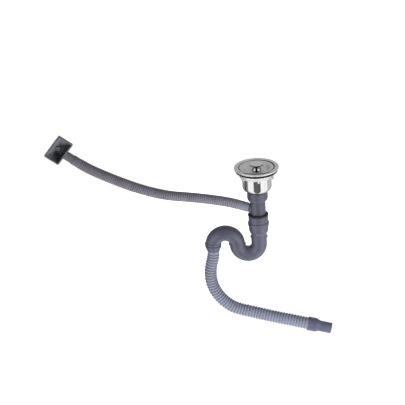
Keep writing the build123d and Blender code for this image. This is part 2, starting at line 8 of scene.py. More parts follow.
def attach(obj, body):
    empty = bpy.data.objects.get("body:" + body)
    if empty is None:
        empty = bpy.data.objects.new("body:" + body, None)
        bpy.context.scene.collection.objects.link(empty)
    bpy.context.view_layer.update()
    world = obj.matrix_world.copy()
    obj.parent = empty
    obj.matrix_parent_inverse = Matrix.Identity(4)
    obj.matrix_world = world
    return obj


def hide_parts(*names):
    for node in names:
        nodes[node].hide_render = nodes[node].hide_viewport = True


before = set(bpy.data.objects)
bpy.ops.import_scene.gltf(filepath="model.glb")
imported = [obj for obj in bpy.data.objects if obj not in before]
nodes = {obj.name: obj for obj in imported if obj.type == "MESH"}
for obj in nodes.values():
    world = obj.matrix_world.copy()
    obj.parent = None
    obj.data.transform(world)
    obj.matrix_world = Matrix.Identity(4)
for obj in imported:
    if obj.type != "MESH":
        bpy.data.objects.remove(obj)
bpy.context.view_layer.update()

scene = bpy.context.scene
scene.view_settings.view_transform = "Standard"
MM = 0.001

# Camera: the photograph looks down at the drain, a little rolled, from far away
VIEW_ELEVATION = math.radians(23.5)
VIEW_ROLL = math.radians(2.3)
VIEW_AIM = Vector((-0.1407, 0.0, -0.0896))
VIEW_WIDTH = 1.033
VIEW_DISTANCE = 30.0
VIEW_END = 100.0
SENSOR_WIDTH = 36.0

# Waste hose: its route, as (x, z), its ribs and cuffs, and how its painted light and shade shifts from its
# first end to its last
WASTE_ROUTE = [
    (-0.11760, -0.22470),
    (-0.11760, -0.23970),
    (-0.12560, -0.26700),
    (-0.12780, -0.29500),
    (-0.12280, -0.32200),
    (-0.11030, -0.34780),
    (-0.09050, -0.37080),
    (-0.06450, -0.38820),
    (-0.02200, -0.40000),
    (0.03200, -0.41600),
    (0.08424, -0.42931),
    (0.12856, -0.44161),
]
WASTE_DIAMETER = 31.5 * MM
WASTE_ROOT_DIAMETER = 26.4 * MM
WASTE_PITCH = 7.3 * MM
WASTE_CUFFS = (4.0 * MM, 14.0 * MM)
WASTE_CUFF_LEVEL = 0.8
WASTE_SHADE_DRIFT = (-0.12, 0.14)

# Overflow hose: its route, ribs, cuffs and painted light and shade in the same way
OVERFLOW_ROUTE = [
    (-0.02521, -0.10772),
    (-0.05882, -0.09482),
    (-0.10800, -0.08400),
    (-0.16800, -0.07400),
    (-0.23000, -0.06680),
    (-0.29000, -0.04900),
    (-0.34800, -0.02400),
    (-0.39800, 0.00050),
    (-0.43695, 0.02222),
    (-0.46589, 0.04363),
]
OVERFLOW_DIAMETER = 25.8 * MM
OVERFLOW_ROOT_DIAMETER = 24.2 * MM
OVERFLOW_PITCH = 5.5 * MM
OVERFLOW_CUFFS = (26.0 * MM, 20.0 * MM)
OVERFLOW_CUFF_LEVEL = 0.2
OVERFLOW_SHADE_DRIFT = (0.14, -0.62)

# Both hoses
ROUTE_RESOLUTION = 48
RINGS_PER_RIB = 8
RIB_FULLNESS = 0.55
HOSE_SIDES = 48
CUFF_TONE = 0.9
CUFF_FADE = 2.0 * MM

# Noise: the middle of its range, stretched to full contrast, and a wider middle for softer changes
NOISE_RANGE = (0.3, 0.7)
SOFT_RANGE = (0.25, 0.75)

# Relief of each finish, as (strength, depth)
BRUSHED_RELIEF = (0.12, 0.05 * MM)
KNOB_RELIEF = (0.10, 0.05 * MM)
SHEET_RELIEF = (0.06, 0.05 * MM)
INSERT_RELIEF = (0.15, 0.05 * MM)
PLASTIC_RELIEF = (0.35, 0.15 * MM)
RUBBER_RELIEF = (0.30, 0.10 * MM)
HOSE_RELIEF = (0.25, 0.08 * MM)

# Brushed steel: fine rings, which hardly change with height, and smudges
RING_SIZE = 0.5 * MM
RING_DETAIL = 4.0
RING_HEIGHT_SHARE = 0.3
RING_DARKNESS = 0.86
RING_ROUGHNESS = (0.85, 1.15)
BRUSHED_ANISOTROPY = 0.5
SMUDGE_SIZE = 22.0 * MM
SMUDGE_DETAIL = 3.0
SMUDGE_RANGE = (0.4, 0.8)
SMUDGE_ROUGHNESS = 0.08
LID_COLOUR = (0.66, 0.66, 0.66)
LID_ROUGHNESS = 0.26
SCREW_COLOUR = (0.60, 0.60, 0.60)
SCREW_ROUGHNESS = 0.24

# Strainer's sheet: satin above the level of SHEET_TOP, polished below it, with lines along the draw
SHEET_TOP = (-1.5 * MM, 0.5 * MM)
SHEET_DARK = (0.60, 0.60, 0.60)
SHEET_BRIGHT = (0.72, 0.72, 0.71)
SHEET_SATIN = (0.24, 0.34)
SHEET_POLISH = (0.07, 0.13)
DRAW_LINE_SIZE = 1.2 * MM
DRAW_LINE_DETAIL = 4.0
DRAW_LINE_HEIGHT_SHARE = 0.05

# Rolled rim of the strainer's flange, by its distance from the drain's axis, pale and matt as a painted
# highlight
RIM = (54.8 * MM, 56.2 * MM)
RIM_HIGHLIGHT_COLOUR = (0.80, 0.80, 0.80)
RIM_PALENESS = 0.6
RIM_ROUGHNESS = 0.2

# Painted shade down in the gap between the lid and the wall of its recess, by height and distance; paler at
# its back left
GAP_HEIGHT = (2.9 * MM, 3.7 * MM)
GAP_EDGE = (48.0 * MM, 48.5 * MM)
GAP_SHADE_COLOUR = (0.06, 0.06, 0.06)
GAP_PALE_WAY = (-0.50, 0.87)
GAP_PALE = (22.0 * MM, 40.0 * MM)
GAP_PALE_SHARE = 0.30

# Shade on the front of the lid and of the flange, on both sides of the gap
SHADE_FRONT = (-42.0 * MM, -33.0 * MM)
SHADE_ON_LID = (41.0 * MM, 42.4 * MM)
SHADE_ON_FLANGE = (51.8 * MM, 53.32 * MM)
SHADE_COLOUR = (0.10, 0.10, 0.10)

# Lid's knob: levels where its top and its overhang start, with painted shade up under the overhang, and the
# painted dark reflections in streaks round its polished waist
KNOB_TOP = (11.8 * MM, 12.2 * MM)
KNOB_OVERHANG_SHADE = (3.4 * MM, 5.9 * MM)
KNOB_DARK = (0.62, 0.62, 0.62)
KNOB_BRIGHT = (0.74, 0.74, 0.73)
KNOB_SATIN = (0.22, 0.30)
KNOB_POLISH = (0.05, 0.09)
REFLECTION_STREAKS = 5
REFLECTION_STREAK_RANGE = (-0.1, 0.5)
SHADE_AND_REFLECTION_COLOUR = (0.03, 0.03, 0.03)

# Insert of the overflow head: nickel-plated brass
INSERT_GRAIN = 0.7 * MM
INSERT_DETAIL = 3.0
INSERT_DARK = (0.50, 0.49, 0.46)
INSERT_BRIGHT = (0.66, 0.65, 0.62)
INSERT_ROUGHNESS = (0.22, 0.36)

# Moulded plastic: clouds of tone, a fine grain, and a parting line along the middle plane
PLASTIC_IOR = 1.49
PLASTIC_CLOUD = 35.0 * MM
PLASTIC_CLOUD_DETAIL = 4.0
PLASTIC_GRAIN = 0.6 * MM
PLASTIC_GRAIN_DETAIL = 2.0
PLASTIC_GRAIN_HEIGHT = 0.25
PLASTIC_DARKNESS = 0.88
PLASTIC_BRIGHTNESS = 1.10
PLASTIC_UNEVENNESS = 0.04
PARTING_LINE = (0.1 * MM, 0.5 * MM)
GREY_COLOUR = (0.130, 0.131, 0.190)
# A darker copy of the grey plastic for the tailpiece and union nut, as painted shade
TAIL_SHADE_COLOUR = (0.112, 0.115, 0.162)
GREY_ROUGHNESS = 0.30
ADAPTOR_COLOUR = (0.150, 0.155, 0.258)
# The overflow head's pale tone is painted light on its lit upper slopes
HEAD_COLOUR = (0.220, 0.230, 0.258)
SATIN_ROUGHNESS = 0.42

# White rings under the flange, with painted shade that makes them duller at their left and right ends
NUT_COLOUR = (0.92, 0.92, 0.91)
NUT_ROUGHNESS = 0.35
NUT_SUBSURFACE = 0.15
SUBSURFACE_RADIUS = (4.0 * MM, 4.0 * MM, 4.0 * MM)
FRICTION_RING_COLOUR = (0.72, 0.72, 0.71)
FRICTION_RING_ROUGHNESS = 0.40
SHADED_ENDS = (26.0 * MM, 42.0 * MM)
END_SHADE_COLOUR = (0.52, 0.52, 0.52)

# Overflow head: its middle, as (x, z), and the falls and tones of its outlet and of the painted shade in its
# hopper
HEAD_CENTRE = (-0.5015, 0.0762)
HEAD_FALL = math.radians(36.5)
SHADE_FALL = math.radians(46.0)
HOPPER_SHADE = (-3.0 * MM, 9.0 * MM)
HOPPER_END = (21.0 * MM, 21.5 * MM)
HOPPER_SHADE_TONE = (0.080, 0.081, 0.090)
OUTLET_COLOUR = (0.150, 0.160, 0.168)

# Rubber: dark and pale tones of each, a dusty bloom and a fine grain
BLACK_RUBBER = ((0.004, 0.004, 0.005), (0.012, 0.012, 0.013))
DARK_RUBBER = ((0.040, 0.041, 0.047), (0.064, 0.065, 0.075))
GREY_RUBBER = ((0.140, 0.144, 0.152), (0.190, 0.196, 0.206))
RUBBER_SPECULAR = 0.2
RUBBER_ROUGHNESS = (0.48, 0.62)
BLOOM_SIZE = 9.0 * MM
BLOOM_DETAIL = 5.0
BLOOM_RANGE = (0.35, 0.75)
RUBBER_GRAIN = 0.8 * MM
RUBBER_GRAIN_DETAIL = 2.0

# Plastic of the hoses: the tone of the ribs and the darker tone of the grooves, which is painted shade, of
# each; clouds that shift them, and a fine grain
WASTE_COLOURS = ((0.246, 0.240, 0.298), (0.330, 0.374, 0.500))
OVERFLOW_COLOURS = ((0.170, 0.150, 0.176), (0.302, 0.305, 0.400))
HOSE_IOR = 1.5
HOSE_CLOUD = 18.0 * MM
HOSE_CLOUD_DETAIL = 4.0
HOSE_CLOUD_RANGE = (0.2, 0.8)
HOSE_CLOUD_SHIFT = 0.22
HOSE_TONE_RANGE = (0.05, 0.95)
HOSE_ROUGHNESS = (0.58, 0.40)
HOSE_GRAIN = 0.7 * MM
HOSE_GRAIN_DETAIL = 2.0

# Floor: lit near its middle, where it takes the shadow, and plain white towards its edge
FLOOR_LEVEL = -0.70
FLOOR_RADIUS = 1.5
FLOOR_SIDES = 128
FLOOR_COLOUR = (0.9, 0.9, 0.9)
FLOOR_WHITE = 1.60
FLOOR_GLOW = 1.75
FLOOR_FADE = (0.7, 1.4)
FLOOR_WHITE_SHARE = (0.60, 1.0)

# Studio: white screens by direction in degrees, 0 in front and 90 to the right, with a ceiling over them
SCREEN_STOPS = [
    (-180, 0.55),
    (-140, 0.40),
    (-82, 0.18),
    (-74, 1.36),
    (-30, 1.36),
    (-26, 0.14),
    (0, 0.18),
    (25, 0.10),
    (29, 1.36),
    (84, 1.36),
    (92, 0.72),
    (180, 0.60),
]
CEILING_START = (0.40, 0.70)
CEILING_COLOUR = (0.60, 0.60, 0.61)
FILL_COLOUR = (0.13, 0.13, 0.14)
WHITE = (1.0, 1.0, 1.0)

# Lamps: soft ones that no surface mirrors, and smaller ones that leave a glow on the plastic
SOFT_AIM = (-0.14, 0.0, -0.15)
SOFT_SIZE = 1.4
GLOW_AIM = (-0.06, 0.0, -0.19)
GLOW_SIZE = 0.45
LEFT_LAMP = (-1.6, -2.2, -0.2)
LEFT_POWER = 9.0
RIGHT_LAMP = (1.7, -2.0, -0.3)
RIGHT_POWER = 24.0
LEFT_GLOW_LAMP = (-1.06, -2.5, -0.20)
LEFT_GLOW_POWER = 4.5
RIGHT_GLOW_LAMP = (0.83, -2.5, -0.45)
RIGHT_GLOW_POWER = 4.0


def place_camera():
    """The camera at the photograph's viewing angle."""
    sin_elevation = math.sin(VIEW_ELEVATION)
    cos_elevation = math.cos(VIEW_ELEVATION)
    back = Vector((0.0, -cos_elevation, sin_elevation))
    level_right = Vector((1.0, 0.0, 0.0))
    level_up = Vector((0.0, sin_elevation, cos_elevation))
    right = math.cos(VIEW_ROLL) * level_right - math.sin(VIEW_ROLL) * level_up
    up = math.sin(VIEW_ROLL) * level_right + math.cos(VIEW_ROLL) * level_up
    data = bpy.data.cameras.new("camera")
    data.sensor_width = SENSOR_WIDTH
    data.lens = SENSOR_WIDTH * VIEW_DISTANCE / VIEW_WIDTH
    data.clip_end = VIEW_END
    camera = bpy.data.objects.new("camera", data)
    turn = Matrix((right, up, back)).transposed().to_4x4()
    camera.matrix_world = Matrix.Translation(VIEW_AIM + VIEW_DISTANCE * back) @ turn
    scene.collection.objects.link(camera)
    scene.camera = camera


def route_line(name, route):
    """Points along the smooth line that has the route as its control points."""
    data = bpy.data.curves.new(name + "_route", "CURVE")
    data.dimensions = "3D"
    data.resolution_u = ROUTE_RESOLUTION
    spline = data.splines.new("NURBS")
    spline.points.add(len(route) - 1)
    for point, (x, z) in zip(spline.points, route):
        point.co = (x, 0.0, z, 1.0)
    spline.order_u = 3
    spline.use_endpoint_u = True
    spline.resolution_u = ROUTE_RESOLUTION
    holder = bpy.data.objects.new(name + "_route", data)
    scene.collection.objects.link(holder)
    bpy.context.view_layer.update()
    drawn = bpy.data.meshes.new_from_object(holder)
    points = [vertex.co.copy() for vertex in drawn.vertices]
    bpy.data.objects.remove(holder)
    bpy.data.curves.remove(data)
    bpy.data.meshes.remove(drawn)
    return points


def distances(points):
    """How far along the line each of its points lies."""
    along = [0.0]
    for before, after in zip(points, points[1:]):
        along.append(along[-1] + (after - before).length)
    return along


def stations(points, count):
    """Evenly spaced (distance, place, direction) along the line."""
    along = distances(points)
    found = []
    step = 0
    for index in range(count + 1):
        distance = along[-1] * index / count
        while step < len(points) - 2 and along[step + 1] < distance:
            step += 1
        share = (distance - along[step]) / (along[step + 1] - along[step])
        place = points[step].lerp(points[step + 1], share)
        first = max(step - 1, 0)
        last = min(step + 2, len(points) - 1)
        found.append((distance, place, (points[last] - points[first]).normalized()))
    return found


def smooth_step(value, low, high):
    """0 below low, 1 above high, and a soft change between them."""
    share = min(max((value - low) / (high - low), 0.0), 1.0)
    return share * share * (3.0 - 2.0 * share)


def rib_share(distance, length, cuffs):
    """1 where the hose is ribbed, 0 on its plain cuffs."""
    inner = smooth_step(distance, cuffs[0], cuffs[0] + CUFF_FADE)
    outer = smooth_step(length - distance, cuffs[1], cuffs[1] + CUFF_FADE)
    return inner * outer


def ribbed_hose(name, line, diameter, root_diameter, pitch, cuffs, cuff_level, end_shades):
    """A ribbed hose along the line, with a plain cuff at each end and painted light and shade that drifts
    along it and darkens its grooves.
    """
    length = distances(line)[-1]
    ribs = round(length / pitch)
    vertices = []
    tones = []
    faces = []
    across = Vector((0.0, 1.0, 0.0))
    for distance, place, direction in stations(line, ribs * RINGS_PER_RIB):
        rib = (0.5 - 0.5 * math.cos(2.0 * math.pi * ribs * distance / length)) ** RIB_FULLNESS
        ribbed = rib_share(distance, length, cuffs)
        level = ribbed * rib + (1.0 - ribbed) * cuff_level
        # Painted light and shade: the tone drifts from one end's level to the other's along the hose, and is
        # low in the grooves
        shade_drift = end_shades[0] + (end_shades[1] - end_shades[0]) * distance / length
        tone = ribbed * rib + (1.0 - ribbed) * CUFF_TONE + shade_drift
        radius = (root_diameter + (diameter - root_diameter) * level) / 2
        upward = direction.cross(across)
        for side in range(HOSE_SIDES):
            angle = 2.0 * math.pi * side / HOSE_SIDES
            vertices.append(place + radius * (math.cos(angle) * upward + math.sin(angle) * across))
            tones.append(tone)
    rings = len(vertices) // HOSE_SIDES
    for ring in range(rings - 1):
        for side in range(HOSE_SIDES):
            here = ring * HOSE_SIDES + side
            beside = ring * HOSE_SIDES + (side + 1) % HOSE_SIDES
            faces.append((here, beside, beside + HOSE_SIDES, here + HOSE_SIDES))
    faces.append(tuple(reversed(range(HOSE_SIDES))))
    faces.append(tuple(range((rings - 1) * HOSE_SIDES, rings * HOSE_SIDES)))
    mesh = bpy.data.meshes.new(name)
    mesh.from_pydata(vertices, [], faces)
    mesh.attributes.new("rib", "FLOAT", "POINT").data.foreach_set("value", tones)
    mesh.polygons.foreach_set("use_smooth", [True] * (len(faces) - 2) + [False, False])
    mesh.update()
    hose = bpy.data.objects.new(name, mesh)
    scene.collection.objects.link(hose)
    return hose


class Graph:
    """A tree of shader nodes in the making, with short ways to add to it."""

    def __init__(self, tree):
        self.tree = tree

    def add(self, kind, **settings):
        """A new node of that kind."""
        node = self.tree.nodes.new("ShaderNode" + kind)
        for name, value in settings.items():
            setattr(node, name, value)
        return node

    def fill(self, socket, value):
        """Gives the socket a number, a colour or another node's output."""
        if isinstance(value, bpy.types.NodeSocket):
            self.tree.links.new(value, socket)
        elif isinstance(value, tuple):
            socket.default_value = (*value, 1.0)
        else:
            socket.default_value = value

    def math(self, operation, *values):
        """The result of one operation on numbers or outputs."""
        node = self.add("Math", operation=operation)
        for socket, value in zip(node.inputs, values):
            self.fill(socket, value)
        return node.outputs[0]

    def product(self, first, *others):
        for other in others:
            first = self.math("MULTIPLY", first, other)
        return first

    def total(self, first, second):
        return self.math("ADD", first, second)

    def between(self, share, first, second):
        """A number that goes from first to second as the share goes from 0 to 1."""
        rest = self.math("SUBTRACT", 1.0, share)
        return self.total(self.product(share, second), self.product(rest, first))

    def place(self):
        """Where the surface is, in the frame."""
        return self.add("TexCoord").outputs["Object"]

    def split(self, vector):
        """The x, y and z of the vector."""
        node = self.add("SeparateXYZ")
        self.fill(node.inputs[0], vector)
        return tuple(node.outputs)

    def join(self, *values):
        """The vector with that x, y and z."""
        node = self.add("CombineXYZ")
        for socket, value in zip(node.inputs, values):
            self.fill(socket, value)
        return node.outputs[0]

    def noise(self, vector, size, detail):
        """Noise with grains of about that size."""
        node = self.add("TexNoise")
        self.fill(node.inputs["Scale"], 1.0 / size)
        self.fill(node.inputs["Detail"], detail)
        self.fill(node.inputs["Vector"], vector)
        return node.outputs[0]

    def spread(self, value, low, high, to_low, to_high, interpolation="SMOOTHSTEP"):
        """value moved from the range low to high into the range to_low to to_high."""
        node = self.add("MapRange", interpolation_type=interpolation)
        self.fill(node.inputs["Value"], value)
        self.fill(node.inputs["From Min"], low)
        self.fill(node.inputs["From Max"], high)
        self.fill(node.inputs["To Min"], to_low)
        self.fill(node.inputs["To Max"], to_high)
        return node.outputs[0]

    def rise(self, value, low, high):
        """0 below low, 1 above high, and a soft change between them."""
        return self.spread(value, low, high, 0.0, 1.0)

    def fall(self, value, low, high):
        """1 below low, 0 above high, and a soft change between them."""
        return self.spread(value, low, high, 1.0, 0.0)

    def blend(self, share, first, second):
        """A colour that goes from first to second as the share goes from 0 to 1."""
        node = self.add("Mix", data_type="RGBA")
        self.fill(node.inputs["Factor"], share)
        self.fill(node.inputs[6], first)
        self.fill(node.inputs[7], second)
        return node.outputs[2]


class Finish(Graph):
    """A material in the making."""

    def __init__(self, name):
        self.material = bpy.data.materials.new(name)
        self.material.use_nodes = True
        super().__init__(self.material.node_tree)
        self.shader = self.tree.nodes["Principled BSDF"]

    def set(self, **values):
        """Sets the shader's own sockets, with _ for a space."""
        for name, value in values.items():
            self.shader.inputs[name.replace("_", " ")].default_value = value

    def feed(self, name, source):
        """Links another node's output to one of the shader's sockets."""
        self.fill(self.shader.inputs[name], source)

    def bump(self, height, strength, depth):
        """Relief of that depth from a height of 0 to 1."""
        node = self.add("Bump")
        self.fill(node.inputs["Strength"], strength)
        self.fill(node.inputs["Distance"], depth)
        self.fill(node.inputs["Height"], height)
        self.feed("Normal", node.outputs["Normal"])

    def axis_distance(self):
        """How far the surface is from the drain's axis."""
        x, y = self.split(self.place())[:2]
        return self.math("SQRT", self.total(self.product(x, x), self.product(y, y)))

    def ring_noise(self):
        """Fine rings round the drain's axis, as turning and brushing leave them."""
        level = self.product(self.split(self.place())[2], RING_HEIGHT_SHARE)
        return self.noise(self.join(self.axis_distance(), level, 0.0), RING_SIZE, RING_DETAIL)


def brushed_steel(name, bright, roughness, shaded=False):
    """Satin steel, brushed in rings; the lid's is shaded at the front, beside its gap."""
    finish = Finish(name)
    finish.set(Metallic=1.0, Anisotropic=BRUSHED_ANISOTROPY)
    tangent = finish.add("Tangent", direction_type="RADIAL", axis="Z")
    finish.feed("Tangent", tangent.outputs[0])
    rings = finish.ring_noise()
    smudges = finish.noise(finish.place(), SMUDGE_SIZE, SMUDGE_DETAIL)
    dark = tuple(RING_DARKNESS * part for part in bright)
    colour = finish.blend(finish.rise(rings, *NOISE_RANGE), dark, bright)
    if shaded:
        margin = finish.rise(finish.axis_distance(), *SHADE_ON_LID)
        front = finish.fall(finish.split(finish.place())[1], *SHADE_FRONT)
        colour = finish.blend(finish.product(margin, front), colour, SHADE_COLOUR)
    finish.feed("Base Color", colour)
    smoothest, roughest = (roughness * part for part in RING_ROUGHNESS)
    satin = finish.spread(rings, *SOFT_RANGE, smoothest, roughest)
    smudged = finish.spread(smudges, *SMUDGE_RANGE, 0.0, SMUDGE_ROUGHNESS)
    finish.feed("Roughness", finish.total(satin, smudged))
    finish.bump(rings, *BRUSHED_RELIEF)
    return finish.material


def turned_knob():
    """The lid's knob: brushed on top, polished round its waist with painted dark reflections in streaks, and
    painted shade up under its head.
    """
    finish = Finish("turned_knob")
    finish.set(Metallic=1.0)
    x, y, z = finish.split(finish.place())
    rings = finish.ring_noise()
    on_top = finish.rise(z, *KNOB_TOP)
    # Painted shade up under the head, and painted dark reflections in streaks round the waist
    overhang_shade = finish.rise(z, *KNOB_OVERHANG_SHADE)
    bright = finish.blend(finish.rise(rings, *NOISE_RANGE), KNOB_DARK, KNOB_BRIGHT)
    azimuth = finish.math("ARCTAN2", x, finish.product(y, -1.0))
    waves = finish.math("COSINE", finish.product(azimuth, REFLECTION_STREAKS))
    dark_reflections = finish.rise(waves, *REFLECTION_STREAK_RANGE)
    below = finish.blend(finish.math("MAXIMUM", overhang_shade, dark_reflections), bright, SHADE_AND_REFLECTION_COLOUR)
    finish.feed("Base Color", finish.blend(on_top, below, bright))
    satin = finish.spread(rings, *SOFT_RANGE, *KNOB_SATIN)
    polish = finish.spread(rings, *SOFT_RANGE, *KNOB_POLISH)
    finish.feed("Roughness", finish.between(on_top, polish, satin))
    finish.bump(rings, *KNOB_RELIEF)
    return finish.material


def gap_shade_share(finish, x, y, z):
    """Share of painted shade: 1 down in the gap round the lid, less at its paler back, 0 elsewhere."""
    low = finish.fall(z, *GAP_HEIGHT)
    inside = finish.fall(finish.axis_distance(), *GAP_EDGE)
    pale_way = finish.total(finish.product(x, GAP_PALE_WAY[0]), finish.product(y, GAP_PALE_WAY[1]))
    depth = finish.spread(pale_way, *GAP_PALE, 1.0, GAP_PALE_SHARE)
    return finish.product(low, inside, depth)


def drawn_steel():
    """The strainer's sheet: satin on its flange, pale and matt on its rim as a painted highlight, polished on
    the cup below, with painted shade in the gap round the lid and at the front of the flange.
    """
    finish = Finish("drawn_steel")
    x, y, z = finish.split(finish.place())
    # Painted highlight: the rim is pale and less metallic, so that it shows bright
    on_rim = finish.rise(finish.axis_distance(), *RIM)
    on_top = finish.rise(z, *SHEET_TOP)
    finish.feed("Metallic", finish.math("SUBTRACT", 1.0, finish.product(on_rim, RIM_PALENESS)))
    rings = finish.ring_noise()
    stretched = finish.join(x, y, finish.product(z, DRAW_LINE_HEIGHT_SHARE))
    draw_lines = finish.noise(stretched, DRAW_LINE_SIZE, DRAW_LINE_DETAIL)
    grain = finish.between(on_top, draw_lines, rings)
    sheet = finish.blend(finish.rise(grain, *NOISE_RANGE), SHEET_DARK, SHEET_BRIGHT)
    # Painted shade in the gap round the lid, and at the front of the flange beside it
    gap_shade = gap_shade_share(finish, x, y, z)
    front = finish.fall(y, *SHADE_FRONT)
    edge = finish.fall(finish.axis_distance(), *SHADE_ON_FLANGE)
    shade = finish.math("MAXIMUM", gap_shade, finish.product(front, edge))
    sheet = finish.blend(finish.product(on_top, shade), sheet, GAP_SHADE_COLOUR)
    finish.feed("Base Color", finish.blend(on_rim, sheet, RIM_HIGHLIGHT_COLOUR))
    satin = finish.spread(rings, *SOFT_RANGE, *SHEET_SATIN)
    polish = finish.spread(draw_lines, *SOFT_RANGE, *SHEET_POLISH)
    rough = finish.between(on_top, polish, satin)
    finish.feed("Roughness", finish.total(rough, finish.product(on_rim, RIM_ROUGHNESS)))
    finish.bump(grain, *SHEET_RELIEF)
    return finish.material


def plated_brass():
    """Turned brass, nickel plated, with a fine grain."""
    finish = Finish("plated_brass")
    finish.set(Metallic=1.0)
    grain = finish.noise(finish.place(), INSERT_GRAIN, INSERT_DETAIL)
    finish.feed("Base Color", finish.blend(finish.rise(grain, *NOISE_RANGE), INSERT_DARK, INSERT_BRIGHT))
    finish.feed("Roughness", finish.spread(grain, *NOISE_RANGE, *INSERT_ROUGHNESS))
    finish.bump(grain, *INSERT_RELIEF)
    return finish.material


def shade_ends(finish, tone):
    """The tone, with painted shade far to the left and right of the drain's axis."""
    side = finish.math("ABSOLUTE", finish.split(finish.place())[0])
    return finish.blend(finish.rise(side, *SHADED_ENDS), tone, END_SHADE_COLOUR)


def head_distance(finish, fall):
    """How far the surface is from the overflow head's middle, along a way that falls by that angle."""
    x, _, z = finish.split(finish.place())
    sideways = finish.product(finish.math("SUBTRACT", x, HEAD_CENTRE[0]), math.cos(fall))
    down = finish.product(finish.math("SUBTRACT", HEAD_CENTRE[1], z), math.sin(fall))
    return finish.total(sideways, down)


def hopper_shade(finish, tone):
    """The tone, with painted shade on the lower side of the overflow's hopper and greyer on its outlet; the
    pale tone left on the rest is painted light.
    """
    shaded = finish.rise(head_distance(finish, SHADE_FALL), *HOPPER_SHADE)
    outside = finish.rise(head_distance(finish, HEAD_FALL), *HOPPER_END)
    return finish.blend(outside, finish.blend(shaded, tone, HOPPER_SHADE_TONE), OUTLET_COLOUR)


def moulded_plastic(name, colour, roughness, parting=False, subsurface=0.0, shade=None):
    """Moulded plastic: fine grain and slight clouds of tone, with a parting line or a shade if asked."""
    finish = Finish(name)
    finish.set(IOR=PLASTIC_IOR)
    if subsurface:
        finish.set(Subsurface_Weight=subsurface, Subsurface_Radius=SUBSURFACE_RADIUS)
    place = finish.place()
    clouds = finish.noise(place, PLASTIC_CLOUD, PLASTIC_CLOUD_DETAIL)
    grain = finish.noise(place, PLASTIC_GRAIN, PLASTIC_GRAIN_DETAIL)
    dark = tuple(PLASTIC_DARKNESS * part for part in colour)
    light = tuple(PLASTIC_BRIGHTNESS * part for part in colour)
    tone = finish.blend(finish.rise(clouds, *NOISE_RANGE), dark, light)
    if shade:
        tone = shade(finish, tone)
    finish.feed("Base Color", tone)
    smoothest = roughness - PLASTIC_UNEVENNESS
    roughest = roughness + PLASTIC_UNEVENNESS
    cloudy = finish.spread(clouds, *NOISE_RANGE, smoothest, roughest)
    grainy = finish.spread(grain, *NOISE_RANGE, -PLASTIC_UNEVENNESS, PLASTIC_UNEVENNESS)
    finish.feed("Roughness", finish.total(cloudy, grainy))
    height = finish.product(grain, PLASTIC_GRAIN_HEIGHT)
    if parting:
        off_plane = finish.math("ABSOLUTE", finish.split(place)[1])
        height = finish.total(height, finish.fall(off_plane, *PARTING_LINE))
    finish.bump(height, *PLASTIC_RELIEF)
    return finish.material


def rubber(name, dark, pale):
    """Matt rubber with a dusty bloom."""
    finish = Finish(name)
    finish.set(Specular_IOR_Level=RUBBER_SPECULAR)
    place = finish.place()
    bloom = finish.noise(place, BLOOM_SIZE, BLOOM_DETAIL)
    grain = finish.noise(place, RUBBER_GRAIN, RUBBER_GRAIN_DETAIL)
    finish.feed("Base Color", finish.blend(finish.rise(bloom, *BLOOM_RANGE), dark, pale))
    finish.feed("Roughness", finish.spread(bloom, *NOISE_RANGE, *RUBBER_ROUGHNESS))
    finish.bump(grain, *RUBBER_RELIEF)
    return finish.material


def hose_plastic(name, groove_shade, rib):
    """Ribbed hose: pale on the ribs, with painted shade darker down in the grooves."""
    finish = Finish(name)
    finish.set(IOR=HOSE_IOR)
    place = finish.place()
    level = finish.add("Attribute", attribute_name="rib").outputs["Fac"]
    clouds = finish.noise(place, HOSE_CLOUD, HOSE_CLOUD_DETAIL)
    grain = finish.noise(place, HOSE_GRAIN, HOSE_GRAIN_DETAIL)
    shift = finish.spread(clouds, *HOSE_CLOUD_RANGE, -HOSE_CLOUD_SHIFT, HOSE_CLOUD_SHIFT)
    height = finish.total(level, shift)
    # Painted shade: the grooves take the darker tone, the ribs the paler one
    finish.feed("Base Color", finish.blend(finish.rise(height, *HOSE_TONE_RANGE), groove_shade, rib))
    finish.feed("Roughness", finish.spread(height, 0.0, 1.0, *HOSE_ROUGHNESS))
    finish.bump(grain, *HOSE_RELIEF)
    return finish.material


def paint(material, *names):
    """Gives the named nodes that finish."""
    for name in names:
        slots = nodes[name].data.materials
        slots.clear()
        slots.append(material)


def lay_floor():
    """A plain white floor, far enough below to be a cupboard's; it keeps the shadow."""
    bpy.ops.mesh.primitive_circle_add(vertices=FLOOR_SIDES, radius=FLOOR_RADIUS, fill_type="NGON",
                                      location=(VIEW_AIM.x, 0.0, FLOOR_LEVEL))
    floor = bpy.context.object
    floor.name = "floor"
    floor.visible_glossy = False
    material = bpy.data.materials.new("white_floor")
    material.use_nodes = True
    material.node_tree.nodes.clear()
    graph = Graph(material.node_tree)
    lit = graph.add("BsdfDiffuse")
    graph.fill(lit.inputs["Color"], FLOOR_COLOUR)
    rays = graph.add("LightPath").outputs
    seen = graph.math("MAXIMUM", rays["Is Camera Ray"], rays["Is Transmission Ray"])
    white = graph.add("Emission")
    graph.fill(white.inputs["Strength"], graph.spread(seen, 0.0, 1.0, FLOOR_GLOW, FLOOR_WHITE, "LINEAR"))
    reach = graph.add("VectorMath", operation="LENGTH")
    graph.fill(reach.inputs[0], graph.place())
    share = graph.spread(reach.outputs["Value"], *FLOOR_FADE, *FLOOR_WHITE_SHARE, "LINEAR")
    mix = graph.add("MixShader")
    graph.fill(mix.inputs["Fac"], share)
    graph.fill(mix.inputs[1], lit.outputs[0])
    graph.fill(mix.inputs[2], white.outputs[0])
    output = graph.add("OutputMaterial")
    graph.fill(output.inputs["Surface"], mix.outputs[0])
    floor.data.materials.append(material)


